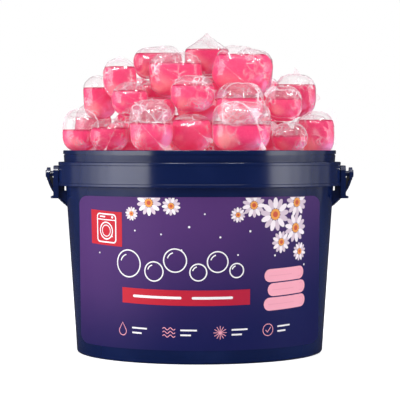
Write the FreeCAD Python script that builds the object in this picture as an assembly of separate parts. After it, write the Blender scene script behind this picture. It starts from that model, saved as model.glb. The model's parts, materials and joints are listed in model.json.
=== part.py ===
import FreeCAD, Part
import math
import os
from FreeCAD import Placement, Rotation, Vector

# Round plastic tub with a bail handle, a wrap label and a heap of sealed laundry pods.
# Millimetres, +Z up. The origin is the middle of the foot ring's face, the front looks
# along -Y and the two ears stand at +X and -X.

# Tub wall and floor
TUB_HEIGHT = 166.0
BASE_RADIUS = 101.6
WALL_TAPER_DEG = 3.8
WALL = 1.6
FLOOR = 1.8
FOOT_HEIGHT = 2.0
FOOT_WIDTH = 3.5
BASE_EDGE_ROUND = 2.0
FLOOR_CORNER_ROUND = 3.0

# Lip with a groove under it, collar, ledge and the band that hangs from the ledge, with a
# bead along each edge
LIP_HEIGHT = 3.0
LIP_STANDS_OUT = 0.4
LIP_ROUND = 0.7
LIP_GROOVE_HEIGHT = 0.9
LIP_GROOVE_DEPTH = 0.5
RIM_ROUND = 0.5
COLLAR_HEIGHT = 6.5
LEDGE_THICK = 1.7
BAND_STANDS_OUT = 4.8
BAND_THICK = 1.6
BAND_HEIGHT = 19.5
BAND_EDGE_ROUND = 0.7
BAND_BEAD_HEIGHT = 2.3
BAND_BEAD_DEPTH = 0.4
BAND_RIBS = 24
BAND_RIB_THICK = 1.2
BAND_RIB_SETBACK = 3.0

# Ears, gussets and the headed pins that carry the handle
EAR_STANDS_OUT = 3.4
EAR_THICK = 4.3
EAR_WIDTH = 30.0
EAR_TOP_DROP = 3.0
EAR_HEIGHT = 27.0
EAR_CORNER_ROUND = 5.0
EAR_LIP = 2.3
EAR_LIP_THICK = 1.8
EAR_LIP_ROUND = 1.8
GUSSET_THICK = 2.2
GUSSET_SPREAD = 20.0
GUSSET_REACH = 2.2
GUSSET_DROP = 4.8
GUSSET_SLOT = 5.6
GUSSET_SLOT_SLOPE = 0.5
GUSSET_ARCH_DROP = 0.5
PIN_DROP_IN_EAR = 6.8
PIN_RADIUS = 2.3
PIN_HEAD_RADIUS = 3.2
PIN_HEAD_THICK = 1.0
PIN_HEAD_ROUND = 0.6
PIN_HEAD_GAP = 0.1

# Bail handle
BAIL_LIP_GAP = 1.4
BAIL_THICK = 2.6
BAIL_WIDTH = 9.0
BAIL_EDGE_ROUND = 0.8
EYE_RADIUS = 5.3
EYE_CLEARANCE = 0.06
GRIP_THICK = 4.4
GRIP_WIDTH = 11.0
GRIP_SPAN_DEG = 40.0
GRIP_EDGE_ROUND = 2.2
BAIL_REST_GAP = 0.4
BAIL_MOST_DROP_DEG = 60.0

# Wrap label
LABEL_THICK = 0.2
LABEL_GLUE = 0.08
LABEL_BOTTOM = 11.0
LABEL_TOP = 130.0
LABEL_HALF_WIDTH = 96.0
LABEL_CORNER_ROUND = 7.0

# Pods: rounded blocks of soft film, with an even gap where they lie on each other
POD_LENGTH = 40.0
POD_WIDTH = 36.0
POD_THICK = 26.4
POD_ROUND = 12.0
POD_ROUND_SHARE = 0.47
POD_GAP = 0.3
LAYER_TWIST_DEG = 17.0

# Hidden pods in the middle of the heap, in two rows, with wider gaps along X and Y
CORE_SIZE = (38.6, 36.0, 26.4)
CORE_COLUMNS = 4
CORE_GAP_X = 0.4
CORE_GAP_Y = 1.0
CORE_MIDDLE_X = -0.5
UPPER_CORE_SIZE = (37.0, 34.0, 19.0)
UPPER_CORE_COLUMNS = 3
UPPER_CORE_GAP_X = 0.5
UPPER_CORE_GAP_Y = 1.0

# How pods are moved into place: start heights, longest way, and the least step that counts
HEAP_DROP = 161.7
SLIDE_REACH = 700.0
SIDE_STEP = 1.0
SLIDE_END = 0.01

# Tolerances of edge picks, of joined corners and of a halved angle
PICK_NEAR = 0.01
POINT_NEAR = 1e-6
ANGLE_NEAR_DEG = 1e-4

# Nearest points: what counts as nothing, and the most steps
TINY = 1e-7
MAX_STEPS = 40

# Places that follow from the sizes above
TAPER = math.tan(math.radians(WALL_TAPER_DEG))
TAPER_COS = math.cos(math.radians(WALL_TAPER_DEG))
FLOOR_TOP = FOOT_HEIGHT + FLOOR
LIP_BOTTOM = TUB_HEIGHT - LIP_HEIGHT
LEDGE_TOP = LIP_BOTTOM - COLLAR_HEIGHT
LEDGE_BOTTOM = LEDGE_TOP - LEDGE_THICK
BAND_RADIUS = BASE_RADIUS + TAPER * LEDGE_TOP + BAND_STANDS_OUT
BAND_BOTTOM = LEDGE_TOP - BAND_HEIGHT
EAR_TOP = LEDGE_TOP - EAR_TOP_DROP
EAR_BOTTOM = EAR_TOP - EAR_HEIGHT
EAR_OUT = BAND_RADIUS + EAR_STANDS_OUT
EAR_IN = EAR_OUT - EAR_THICK
PIN_Z = EAR_TOP - PIN_DROP_IN_EAR
BAIL_RADIUS = EAR_OUT + EAR_LIP + BAIL_LIP_GAP
LAYERS = int((TUB_HEIGHT - FLOOR_TOP) / (POD_THICK + POD_GAP))
HEAP_BOTTOM = FLOOR_TOP + LAYERS * (POD_THICK + POD_GAP) + POD_GAP
UP = Vector(0, 0, 1)
DOWN, BACK, FRONT = (0.0, 0.0, -1.0), (0.0, 1.0, 0.0), (0.0, -1.0, 0.0)


def wall_out(z):
    """Outer radius of the tapered wall at height z."""
    return BASE_RADIUS + TAPER * z


def wall_in(z):
    """Inner radius of the tapered wall at height z."""
    return wall_out(z) - WALL / TAPER_COS


def profile_face(steps):
    """Face in the XZ plane from (r, z) corners, where a third value rounds that corner."""
    points = [Vector(step[0], 0, step[1]) for step in steps]
    count = len(points)
    edges = []
    ends = []
    for i, step in enumerate(steps):
        here, before, after = points[i], points[i - 1], points[(i + 1) % count]
        if len(step) < 3:
            ends.append((here, here))
            continue
        to_before = (before - here).normalize()
        to_after = (after - here).normalize()
        half = to_before.getAngle(to_after) / 2
        reach = step[2] / math.tan(half)
        start, stop = here + to_before * reach, here + to_after * reach
        centre = here + (to_before + to_after).normalize() * (step[2] / math.sin(half))
        middle = centre + (here - centre).normalize() * step[2]
        edges.append(Part.Arc(start, middle, stop).toShape())
        ends.append((start, stop))
    for i in range(count):
        a, b = ends[i][1], ends[(i + 1) % count][0]
        if a.distanceToPoint(b) > POINT_NEAR:
            edges.append(Part.LineSegment(a, b).toShape())
    wire = Part.Wire(Part.__sortEdges__(edges))
    return Part.Face(wire)


def full_turn(face):
    """Solid of revolution about the tub's axis."""
    return face.revolve(Vector(), UP, 360)


def tub_shell():
    """Floor, foot ring, wall, lip, collar, ledge and band as one turned section."""
    foot_in = BASE_RADIUS - BASE_EDGE_ROUND - FOOT_WIDTH
    lip_out = wall_out(LIP_BOTTOM) + LIP_STANDS_OUT
    groove_low = LIP_BOTTOM - LIP_GROOVE_HEIGHT
    groove_in = wall_out(LIP_BOTTOM) - LIP_GROOVE_DEPTH
    bead_low, bead_high = BAND_BOTTOM + BAND_BEAD_HEIGHT, LEDGE_TOP - BAND_BEAD_HEIGHT
    return full_turn(profile_face([
        (0, FOOT_HEIGHT),
        (foot_in - FOOT_HEIGHT / 2, FOOT_HEIGHT),
        (foot_in, 0),
        (BASE_RADIUS, 0, BASE_EDGE_ROUND),
        (wall_out(LEDGE_BOTTOM), LEDGE_BOTTOM),
        (BAND_RADIUS - BAND_THICK, LEDGE_BOTTOM),
        (BAND_RADIUS - BAND_THICK, BAND_BOTTOM),
        (BAND_RADIUS, BAND_BOTTOM, BAND_EDGE_ROUND),
        (BAND_RADIUS, bead_low),
        (BAND_RADIUS - BAND_BEAD_DEPTH, bead_low + BAND_BEAD_DEPTH),
        (BAND_RADIUS - BAND_BEAD_DEPTH, bead_high - BAND_BEAD_DEPTH),
        (BAND_RADIUS, bead_high),
        (BAND_RADIUS, LEDGE_TOP, BAND_EDGE_ROUND),
        (wall_out(LEDGE_TOP), LEDGE_TOP),
        (wall_out(groove_low), groove_low),
        (groove_in, groove_low),
        (groove_in, LIP_BOTTOM),
        (lip_out, LIP_BOTTOM),
        (lip_out, TUB_HEIGHT, LIP_ROUND),
        (wall_in(TUB_HEIGHT), TUB_HEIGHT, RIM_ROUND),
        (wall_in(FLOOR_TOP), FLOOR_TOP, FLOOR_CORNER_ROUND),
        (0, FLOOR_TOP),
    ]))


def band_rib(angle):
    """Thin rib that ties the band to the wall, under the ledge."""
    low = BAND_BOTTOM + BAND_RIB_SETBACK
    inside = wall_out(low) - WALL / 2
    depth = BAND_RADIUS - BAND_THICK / 2 - inside
    rib = Part.makeBox(depth, BAND_RIB_THICK, LEDGE_BOTTOM + LEDGE_THICK / 2 - low,
                       Vector(inside, -BAND_RIB_THICK / 2, low))
    rib.rotate(Vector(), UP, angle)
    return rib


def ear_plate():
    """Flat lug with rounded lower corners and a lip along its bottom edge."""
    plate = Part.makeBox(EAR_THICK, EAR_WIDTH, EAR_HEIGHT,
                         Vector(EAR_IN, -EAR_WIDTH / 2, EAR_BOTTOM))
    top_edges = [e for e in plate.Edges
                 if e.Length < EAR_THICK + PICK_NEAR and e.CenterOfMass.z > EAR_TOP - PICK_NEAR]
    plate = plate.makeFillet(EAR_CORNER_ROUND, top_edges)
    lip = Part.makeBox(EAR_THICK + EAR_LIP, EAR_WIDTH, EAR_LIP_THICK,
                       Vector(EAR_IN, -EAR_WIDTH / 2, EAR_BOTTOM))
    lip_corners = [e for e in lip.Edges
                   if abs(e.Length - EAR_LIP_THICK) < PICK_NEAR and e.CenterOfMass.x > EAR_OUT]
    return plate.fuse(lip.makeFillet(EAR_LIP_ROUND, lip_corners))


def gusset(y):
    """Web from the back of the ear down to the wall, with the slot above its foot."""
    inner = wall_out(EAR_BOTTOM) - WALL / 2
    slot_top = BAND_BOTTOM + BAND_EDGE_ROUND
    slot_bottom = slot_top - GUSSET_SLOT
    slot_out = wall_out(slot_top) + GUSSET_REACH
    foot_bottom = EAR_BOTTOM - GUSSET_DROP
    arch_mid = Vector((inner + EAR_OUT) / 2, 0, EAR_BOTTOM - GUSSET_ARCH_DROP)
    start, stop = Vector(EAR_OUT, 0, EAR_BOTTOM), Vector(inner, 0, foot_bottom)
    corners = [stop, Vector(inner, 0, slot_bottom),
               Vector(slot_out, 0, slot_bottom + GUSSET_SLOT_SLOPE), Vector(slot_out, 0, slot_top),
               Vector(EAR_OUT - EAR_THICK / 2, 0, slot_top), start]
    edges = [Part.LineSegment(a, b).toShape() for a, b in zip(corners, corners[1:])]
    edges.append(Part.Arc(start, arch_mid, stop).toShape())
    web = Part.Face(Part.Wire(edges)).extrude(Vector(0, GUSSET_THICK, 0))
    web.translate(Vector(0, y - GUSSET_THICK / 2, 0))
    return web


def headed_pin():
    """Stub pin on the ear's face, with a thin head that keeps the handle's eye on it."""
    root = EAR_OUT - EAR_THICK / 2
    head_in = BAIL_RADIUS + BAIL_THICK + PIN_HEAD_GAP
    along = Vector(1, 0, 0)
    pin = Part.makeCylinder(PIN_RADIUS, head_in + PIN_HEAD_THICK / 2 - root,
                            Vector(root, 0, PIN_Z), along)
    head = Part.makeCylinder(PIN_HEAD_RADIUS, PIN_HEAD_THICK, Vector(head_in, 0, PIN_Z), along)
    outer = [e for e in head.Edges if e.CenterOfMass.x > head_in + PIN_HEAD_THICK / 2
             and e.Closed]
    return pin.fuse(head.makeFillet(PIN_HEAD_ROUND, outer))


def ear():
    """Everything that stands out of the tub on its +X side."""
    half = GUSSET_SPREAD / 2
    return ear_plate().multiFuse([gusset(-half), gusset(half), headed_pin()])


def tub():
    """The whole moulded tub as one solid."""
    right = ear()
    left = right.copy()
    left.rotate(Vector(), UP, 180)
    step = 360 / BAND_RIBS
    ribs = [band_rib(step * (i + 0.5)) for i in range(BAND_RIBS)]
    return tub_shell().multiFuse([right, left] + ribs).removeSplitter()


def front_label():
    """Thin wrap on the front of the wall, with rounded corners as seen from the front."""
    bottom_in = wall_out(LABEL_BOTTOM) + LABEL_GLUE
    top_in = wall_out(LABEL_TOP) + LABEL_GLUE
    shell = full_turn(profile_face([
        (bottom_in, LABEL_BOTTOM),
        (bottom_in + LABEL_THICK, LABEL_BOTTOM),
        (top_in + LABEL_THICK, LABEL_TOP),
        (top_in, LABEL_TOP),
    ]))
    outline = profile_face([
        (-LABEL_HALF_WIDTH, LABEL_BOTTOM, LABEL_CORNER_ROUND),
        (LABEL_HALF_WIDTH, LABEL_BOTTOM, LABEL_CORNER_ROUND),
        (LABEL_HALF_WIDTH, LABEL_TOP, LABEL_CORNER_ROUND),
        (-LABEL_HALF_WIDTH, LABEL_TOP, LABEL_CORNER_ROUND),
    ])
    return shell.common(outline.extrude(Vector(0, -BAND_RADIUS, 0)))


def half_ring(inner, thick, width, rounding, start, sweep):
    """Rounded strap bent round the Y axis, from an angle up from +X in the XZ plane."""
    low, high = -width / 2, width / 2
    steps = [(inner, low, rounding), (inner + thick, low, rounding),
             (inner + thick, high, rounding), (inner, high, rounding)]
    section = profile_face(steps)
    section.rotate(Vector(), Vector(1, 0, 0), -90)
    strap = section.revolve(Vector(), Vector(0, -1, 0), sweep)
    strap.rotate(Vector(), Vector(0, -1, 0), start)
    return strap


def bail_upright():
    """Handle standing straight up, with its hinge line on the X axis."""
    strap = half_ring(BAIL_RADIUS, BAIL_THICK, BAIL_WIDTH, BAIL_EDGE_ROUND, 0, 180)
    grip = half_ring(BAIL_RADIUS, GRIP_THICK, GRIP_WIDTH, GRIP_EDGE_ROUND,
                     90 - GRIP_SPAN_DEG / 2, GRIP_SPAN_DEG)
    eyes = []
    bores = []
    for side in (1, -1):
        along = Vector(side, 0, 0)
        eyes.append(Part.makeCylinder(EYE_RADIUS, BAIL_THICK, along * BAIL_RADIUS, along))
        bores.append(Part.makeCylinder(PIN_RADIUS + EYE_CLEARANCE, BAIL_THICK * 3,
                                       along * (BAIL_RADIUS - BAIL_THICK), along))
    return strap.multiFuse([grip] + eyes).removeSplitter().cut(Part.makeCompound(bores))


def rest_drop_deg():
    """Angle below level at which the hanging handle's grip meets the back of the wall."""
    low, high = 0.0, BAIL_MOST_DROP_DEG
    while high - low > ANGLE_NEAR_DEG:
        drop = math.radians((low + high) / 2)
        reach = BAIL_RADIUS * math.cos(drop) - GRIP_WIDTH / 2 * math.sin(drop)
        z = PIN_Z - BAIL_RADIUS * math.sin(drop) - GRIP_WIDTH / 2 * math.cos(drop)
        if (reach - wall_out(z)) * TAPER_COS > BAIL_REST_GAP:
            low = (low + high) / 2
        else:
            high = (low + high) / 2
    return low


def bail_handle():
    """Handle as it hangs down behind the tub."""
    bail = bail_upright()
    bail.rotate(Vector(), Vector(1, 0, 0), -(90 + rest_drop_deg()))
    bail.translate(Vector(0, 0, PIN_Z))
    return bail


# Distance between two blocks, by the nearest point of their difference to the origin

def dot(a, b):
    """Product of two vectors."""
    return a[0] * b[0] + a[1] * b[1] + a[2] * b[2]


def minus(a, b):
    """First vector less the second."""
    return (a[0] - b[0], a[1] - b[1], a[2] - b[2])


def along_line(a, b, share):
    """Point at a share of the way from a to b."""
    return (a[0] + (b[0] - a[0]) * share, a[1] + (b[1] - a[1]) * share,
            a[2] + (b[2] - a[2]) * share)


def cross(a, b):
    """Vector at right angles to two others."""
    return (a[1] * b[2] - a[2] * b[1], a[2] * b[0] - a[0] * b[2], a[0] * b[1] - a[1] * b[0])


def nearest_on_segment(a, b):
    """Nearest point of a segment to the origin, and the ends that hold it."""
    ab = minus(b, a)
    share = -dot(a, ab) / (dot(ab, ab) or 1.0)
    if share <= 0:
        return a, [a]
    if share >= 1:
        return b, [b]
    return along_line(a, b, share), [a, b]


def nearest_on_triangle(a, b, c):
    """Nearest point of a triangle to the origin, and the corners that hold it."""
    best, kept = None, None
    normal = cross(minus(b, a), minus(c, a))
    size = dot(normal, normal)
    if size > TINY * TINY:
        inside = all(dot(cross(minus(q, p), p), normal) <= 0
                     for p, q in ((a, b), (b, c), (c, a)))
        if inside:
            share = dot(a, normal) / size
            return (normal[0] * share, normal[1] * share, normal[2] * share), [a, b, c]
    for p, q in ((a, b), (b, c), (c, a)):
        point, ends = nearest_on_segment(p, q)
        if best is None or dot(point, point) < dot(best, best):
            best, kept = point, ends
    return best, kept


def nearest_on_simplex(points):
    """Nearest point to the origin, and the corners that hold it."""
    if len(points) == 2:
        return nearest_on_segment(*points)
    if len(points) == 3:
        return nearest_on_triangle(*points)
    best, kept = None, None
    for i in range(4):
        a, b, c = [p for j, p in enumerate(points) if j != i]
        normal = cross(minus(b, a), minus(c, a))
        behind = dot(minus(points[i], a), normal)
        if dot(a, normal) * behind < 0 and abs(behind) > TINY * TINY:
            continue
        point, corners = nearest_on_triangle(a, b, c)
        if best is None or dot(point, point) < dot(best, best):
            best, kept = point, corners
    if best is None:
        return (0.0, 0.0, 0.0), points
    return best, kept


def pod_round(size):
    """Edge radius of a pod, less on a thin one."""
    return min(POD_ROUND, POD_ROUND_SHARE * min(size))


class Pod:
    """A rounded block: a small box swept by a ball."""

    def __init__(self, centre, size, turn):
        self.centre = tuple(centre)
        self.size = size
        self.turn = turn
        axes = (Vector(1, 0, 0), Vector(0, 1, 0), Vector(0, 0, 1))
        self.axes = [tuple(turn.multVec(axis)) for axis in axes]
        self.round = pod_round(size)
        self.half = [length / 2 - self.round for length in size]
        self.reach = math.sqrt(sum(h * h for h in self.half)) + self.round

    def farthest(self, way):
        """Corner of the inner box that lies farthest along a way."""
        x, y, z = self.centre
        for half, (ax, ay, az) in zip(self.half, self.axes):
            h = half if way[0] * ax + way[1] * ay + way[2] * az > 0 else -half
            x, y, z = x + h * ax, y + h * ay, z + h * az
        return (x, y, z)

    def corners(self):
        """All eight corners of the inner box."""
        found = []
        for i in (-1, 1):
            for j in (-1, 1):
                for k in (-1, 1):
                    signs = (i, j, k)
                    found.append(tuple(
                        self.centre[n] + sum(s * h * axis[n] for s, h, axis
                                             in zip(signs, self.half, self.axes))
                        for n in range(3)))
        return found

    def shift(self, way, length):
        """Moves the block along a way."""
        self.centre = tuple(c + w * length for c, w in zip(self.centre, way))

    def low(self):
        """Height of the block's lowest point."""
        return self.farthest((0, 0, -1))[2] - self.round

    def solid(self):
        """The block with all its edges rounded."""
        length, width, thick = self.size
        block = Part.makeBox(length, width, thick, Vector(-length / 2, -width / 2, -thick / 2))
        block = block.makeFillet(self.round, block.Edges)
        block.Placement = Placement(Vector(*self.centre), self.turn)
        return block


def between(first, second):
    """Distance between two pods' inner boxes, and the way from the first to the second."""
    v = minus(first.centre, second.centre)
    points = []
    for _ in range(MAX_STEPS):
        away = (-v[0], -v[1], -v[2])
        w = minus(first.farthest(away), second.farthest(v))
        if points and (w in points or dot(v, v) - dot(v, w) <= TINY * dot(v, v)):
            break
        points = (points + [w])[-4:]
        v, points = (w, [w]) if len(points) == 1 else nearest_on_simplex(points)
        if dot(v, v) < TINY:
            return 0.0, (0.0, 0.0, 0.0)
    length = math.sqrt(dot(v, v))
    return length, (-v[0] / length, -v[1] / length, -v[2] / length)


def pod_room(pod, other):
    """Clear width between two pods, less the gap."""
    return between(pod, other)[0] - pod.round - other.round - POD_GAP


def room_to_pod(pod, way, other):
    """How far a pod can slide before it lies POD_GAP from another one."""
    apart = minus(other.centre, pod.centre)
    ahead = dot(apart, way)
    aside = math.sqrt(max(dot(apart, apart) - ahead * ahead, 0))
    if aside > pod.reach + other.reach + POD_GAP or ahead < 0:
        return math.inf
    length, toward = between(pod, other)
    closing = dot(toward, way)
    if closing <= TINY:
        return math.inf
    return (length - pod.round - other.round - POD_GAP) / closing


def wall_room(pod, drop=0.0):
    """Clear width between a lowered pod and the wall, or the rim's inner edge, less the gap."""
    clear = []
    for x, y, z in pod.corners():
        radius, height = math.hypot(x, y), z - drop
        if height > TUB_HEIGHT:
            inward = max(wall_in(TUB_HEIGHT) - radius, 0)
            clear.append(math.hypot(inward, height - TUB_HEIGHT))
        else:
            clear.append((wall_in(height) - radius) * TAPER_COS)
    return min(clear) - pod.round - POD_GAP


def room_down(pod):
    """How far a pod can sink before the floor, the wall or the rim stops it."""
    low, high = 0.0, pod.low() - FLOOR_TOP - POD_GAP
    if high <= 0 or wall_room(pod) <= 0:
        return 0.0
    if wall_room(pod, high) >= 0:
        return high
    while high - low > SLIDE_END:
        middle = (low + high) / 2
        if wall_room(pod, middle) >= 0:
            low = middle
        else:
            high = middle
    return low


def slide(pod, way, placed, reach):
    """Slides a pod along a way until it comes to lie against something."""
    gone = 0.0
    while gone < reach:
        room = min([room_to_pod(pod, way, other) for other in placed] + [reach - gone])
        if way[2] < 0:
            room = min(room, room_down(pod) / -way[2])
        if room < SLIDE_END:
            break
        pod.shift(way, room)
        gone += room
    return pod


def ring_count(radius):
    """How many pods fit side by side round a ring, lengthways along it."""
    edge = pod_round((POD_LENGTH, POD_WIDTH, POD_THICK))
    inner = radius - POD_WIDTH / 2 + edge
    half_core = POD_LENGTH / 2 - edge
    corner = math.hypot(inner, half_core)
    step = math.atan2(half_core, inner) + math.asin((edge + POD_GAP / 2) / corner)
    return int(math.pi / step)


def layer_places(outer):
    """Angle and radius of each pod in one layer, in rings from the outside in."""
    places = []
    radius = outer - POD_WIDTH / 2 - 2 * POD_GAP
    while radius > POD_WIDTH:
        count = ring_count(radius)
        places += [(360 * i / count, radius) for i in range(count)]
        radius -= POD_WIDTH + 2 * POD_GAP
    if radius > 0:
        places.append((0, 0))
    return places


def flat_layer(outer, z, twist, placed):
    """Pods lying flat in rings, each lowered on to what is under it."""
    layer = []
    drop = 2 * POD_THICK
    for angle, radius in layer_places(outer):
        angle = math.radians(angle + twist)
        centre = (radius * math.cos(angle), radius * math.sin(angle), z + drop)
        pod = Pod(centre, (POD_LENGTH, POD_WIDTH, POD_THICK),
                  Rotation(math.degrees(angle) + 90, 0, 0))
        layer.append(slide(pod, DOWN, placed, 2 * drop))
    return layer


def filled_layers():
    """The pods inside the tub, layer by layer up to the rim."""
    layers = []
    placed = []
    for i in range(LAYERS):
        bottom = FLOOR_TOP + i * (POD_THICK + POD_GAP)
        outer = wall_in(bottom + POD_ROUND) - POD_GAP
        layer = flat_layer(outer, bottom, i * LAYER_TWIST_DEG, placed)
        layers.append(layer)
        placed += layer
    return layers


# The heap. Each row has a pod's name, its middle's x and y as shares of the rim's inner
# radius, its lowest point over the layers, its sizes along X, Y and Z, its turn about Z and
# its lean about Y, and the way that it is moved in until it lies against the pods there.
HEAP = [
    # Ends of the heap, lying on the rim
    ("left_front", -0.874, -0.185, HEAP_DROP, (30, 29, 36), -8, 2, DOWN),
    ("left_back", -0.838, 0.261, HEAP_DROP, (25, 31, 42), 0, 6, DOWN),
    ("right_front", 0.851, -0.18, HEAP_DROP, (31, 31, 37), 8, 0, DOWN),
    ("right_back", 0.851, 0.189, HEAP_DROP, (31, 31, 33), 0, -3, DOWN),
    ("left_shoulder", -0.744, -0.009, HEAP_DROP, (28, 26, 37), 0, -3, DOWN),
    ("right_shoulder", 0.716, 0.009, HEAP_DROP, (35, 31, 36.5), 0, 3, DOWN),
    # Front of the heap
    ("front_middle_upper", -0.05, -0.811, 32.0, (36, 28, 30), 5, 2, BACK),
    ("front_right_upper", 0.294, -0.811, 21.7, (38.6, 30, 34.7), -4, 0, BACK),
    ("front_right_outer", 0.611, -0.811, 24.2, (30, 30, 30), 0, 3, BACK),
    ("front_left_outer", -0.502, -0.811, 28.3, (30, 29, 28), 0, -5, BACK),
    ("front_middle", -0.057, -0.811, 0.0, (34, 30, 31), -6, 0, BACK),
    ("front_left", -0.342, -0.811, 0.0, (34, 29, 42), -10, -3, BACK),
    ("front_right", 0.296, -0.811, 0.0, (46.6, 30, 40.4), 5, 2, BACK),
    ("front_right_low", 0.649, -0.811, 0.0, (29, 28, 24.5), 12, 0, BACK),
    ("front_left_low", -0.649, -0.811, 0.0, (31, 28, 27.5), -12, 0, BACK),
    # Upper rows and the peak
    ("upper_left", -0.585, -0.207, HEAP_DROP, (28, 26, 35), 0, -4, DOWN),
    ("upper_middle", -0.178, -0.135, HEAP_DROP, (45, 29, 36), 3, -3, DOWN),
    ("upper_right", 0.315, -0.153, HEAP_DROP, (49, 29, 38), -3, 14, DOWN),
    ("under_peak", 0.059, 0.162, HEAP_DROP, (38, 34, 19.5), 0, 0, DOWN),
    ("under_left", -0.306, 0.162, HEAP_DROP, (40, 34, 16), 0, 0, DOWN),
    ("upper_left_back", -0.315, 0.144, HEAP_DROP, (42, 31, 27), 0, -5, DOWN),
    ("upper_right_back", 0.396, 0.144, HEAP_DROP, (35, 33, 41), 0, 6, DOWN),
    ("peak", 0.054, 0.144, HEAP_DROP, (38, 33, 36), 0, 0, DOWN),
    # Back of the heap
    ("back_left", -0.516, 0.811, 0.0, (34, 29, 36), 8, 0, FRONT),
    ("back_middle_left", -0.144, 0.811, 0.0, (35, 29, 38), -4, 3, FRONT),
    ("back_middle_right", 0.189, 0.811, 0.0, (35, 29, 33), 5, 0, FRONT),
    ("back_right", 0.504, 0.811, 0.0, (31, 29, 36), -8, -3, FRONT),
    ("left_rear", -0.766, 0.525, HEAP_DROP, (18.5, 22, 36), 0, 0, DOWN),
    ("right_rear", 0.784, 0.477, HEAP_DROP, (24, 24, 30), -30, 0, DOWN),
    ("back_upper_left", -0.504, 0.811, 36.7, (32, 28, 28), 10, 0, FRONT),
    ("back_upper_middle_left", -0.18, 0.811, 40.7, (37, 30, 32), -5, 4, FRONT),
    ("back_upper_middle_right", 0.171, 0.811, 35.7, (37, 30, 36), 6, -3, FRONT),
    ("back_upper_right", 0.486, 0.811, 37.7, (32, 28, 28), -8, 0, FRONT),
    ("back_rim_left", -0.18, 0.775, HEAP_DROP, (36, 26, 32), 12, 0, DOWN),
    ("back_rim_right", 0.18, 0.775, HEAP_DROP, (36, 26, 34), -12, 0, DOWN),
]


def core_pods(size, columns, gap_x, gap_y, placed):
    """Two rows of hidden pods in the middle of the heap, lowered into place."""
    found = []
    for row in (-0.5, 0.5):
        for column in range(columns):
            x = CORE_MIDDLE_X + (column - (columns - 1) / 2) * (size[0] + gap_x)
            centre = (x, row * (size[1] + gap_y), HEAP_BOTTOM + HEAP_DROP)
            pod = Pod(centre, size, Rotation())
            found.append(slide(pod, DOWN, placed + found, SLIDE_REACH))
    return found


def heap_pod(row, placed):
    """One pod of the heap, moved in from where its row starts it."""
    _, x, y, height, size, yaw, lean, way = row
    rim = wall_in(TUB_HEIGHT)
    pod = Pod((x * rim, y * rim, 0), size, Rotation(yaw, lean, 0))
    pod.shift(UP, HEAP_BOTTOM + height - pod.low())
    if way != DOWN:
        while pod.low() < TUB_HEIGHT and wall_room(pod) < 0:
            pod.shift(way, SIDE_STEP)
    while any(pod_room(pod, other) < 0 for other in placed):
        pod.shift(UP, SIDE_STEP)
    return slide(pod, way, placed, SLIDE_REACH)


def bail_room(pod):
    """Least distance from a pod to the inner face of the handle as it swings over."""
    far = max(math.dist(corner, (0, 0, PIN_Z)) for corner in pod.corners())
    return BAIL_RADIUS - pod.round - far


def heap(placed):
    """Name and pod for every pod of the heap that has a node of its own."""
    found = []
    for row in HEAP:
        pod = heap_pod(row, placed)
        placed = placed + [pod]
        found.append((row[0], pod))
    print("room under the handle", min(bail_room(pod) for _, pod in found))
    return found


def export(name, shape):
    """Writes one piece."""
    shape.exportStep("parts/%s.step" % name)


def export_group(name, pods):
    """Writes some pods as one piece of separate solids."""
    export(name, Part.makeCompound([pod.solid() for pod in pods]))


def main():
    os.makedirs("parts", exist_ok=True)
    export("tub", tub())
    export("front_label", front_label())
    export("bail_handle", bail_handle())
    layers = filled_layers()
    for i, layer in enumerate(layers):
        export_group("pods_layer_%d" % (i + 1), layer)
    lower = core_pods(CORE_SIZE, CORE_COLUMNS, CORE_GAP_X, CORE_GAP_Y, layers[-1])
    upper = core_pods(UPPER_CORE_SIZE, UPPER_CORE_COLUMNS, UPPER_CORE_GAP_X,
                      UPPER_CORE_GAP_Y, lower)
    export_group("pods_core_lower", lower)
    export_group("pods_core_upper", upper)
    for name, pod in heap(layers[-1] + lower + upper):
        export("pod_" + name, pod.solid())


main()
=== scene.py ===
import json
import math
import random

import bmesh
import bpy
from bpy.props import FloatProperty, FloatVectorProperty, IntProperty, PointerProperty
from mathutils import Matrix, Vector, noise
from mathutils.bvhtree import BVHTree


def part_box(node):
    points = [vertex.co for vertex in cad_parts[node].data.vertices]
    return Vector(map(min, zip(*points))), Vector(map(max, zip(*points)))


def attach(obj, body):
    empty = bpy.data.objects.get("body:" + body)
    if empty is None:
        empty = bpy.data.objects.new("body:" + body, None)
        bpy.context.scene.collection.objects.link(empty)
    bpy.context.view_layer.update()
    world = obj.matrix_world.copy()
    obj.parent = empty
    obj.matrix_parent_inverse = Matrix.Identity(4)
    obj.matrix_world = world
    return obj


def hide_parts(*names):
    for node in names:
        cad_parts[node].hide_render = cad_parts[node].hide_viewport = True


bl_info = {
    "name": "Heaped Pail Look",
    "version": (1, 0, 0),
    "blender": (4, 5, 0),
    "location": "3D View > Sidebar > Pail",
    "description": "Dresses a round moulded pail, its printed label and its heap of film packs",
    "category": "Object",
}

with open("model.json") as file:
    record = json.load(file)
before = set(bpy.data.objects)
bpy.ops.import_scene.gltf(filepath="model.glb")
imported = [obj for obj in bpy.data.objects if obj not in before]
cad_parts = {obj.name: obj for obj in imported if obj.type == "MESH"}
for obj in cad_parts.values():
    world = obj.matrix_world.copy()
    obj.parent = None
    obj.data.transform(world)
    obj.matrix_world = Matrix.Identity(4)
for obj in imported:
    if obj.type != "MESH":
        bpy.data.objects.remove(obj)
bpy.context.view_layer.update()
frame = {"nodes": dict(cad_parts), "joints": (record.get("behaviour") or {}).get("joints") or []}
NODES = frame["nodes"]
MM = 0.001
UP = Vector((0, 0, 1))

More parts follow.
